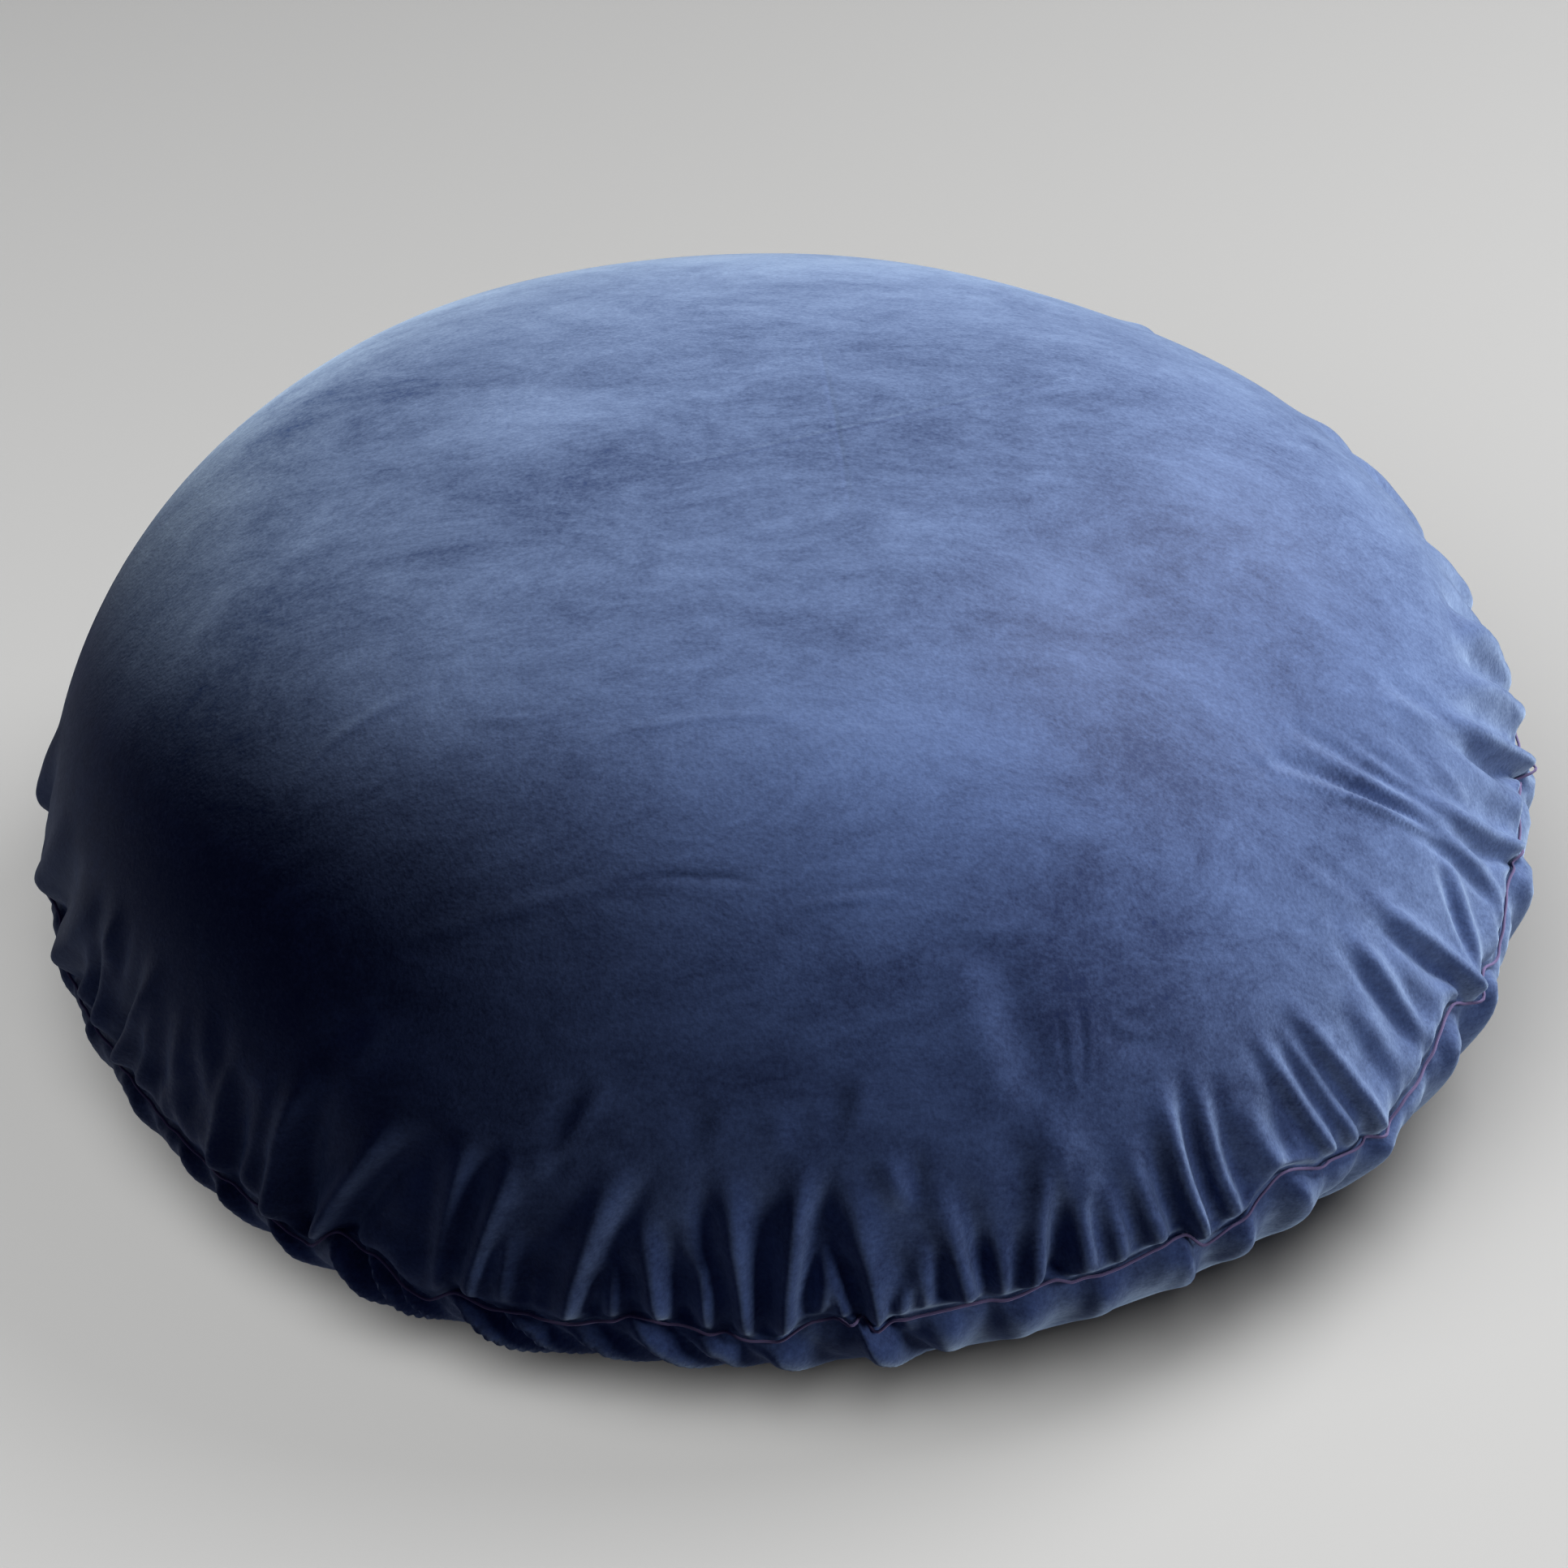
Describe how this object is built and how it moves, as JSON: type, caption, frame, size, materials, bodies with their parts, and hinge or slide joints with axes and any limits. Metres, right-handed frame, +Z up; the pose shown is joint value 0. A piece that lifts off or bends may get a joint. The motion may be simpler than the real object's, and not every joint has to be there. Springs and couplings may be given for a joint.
{
  "type": "floor pillow",
  "caption": "Large round filled floor pillow in velvet, with a high crown and a closed, gathered seam low on its side.",
  "frame": {"origin": "middle of the flat underside that rests on the floor, in plan the middle of the whole outline", "axes": "+Z up through the crown, -Y towards the front, where the seam lies lowest"},
  "size_m": [0.9048, 0.8616, 0.345],
  "materials": {
    "velvet": "matt"
  },
  "bodies": {
    "root": {"floor_pillow": "velvet"}
  },
  "joints": []
}
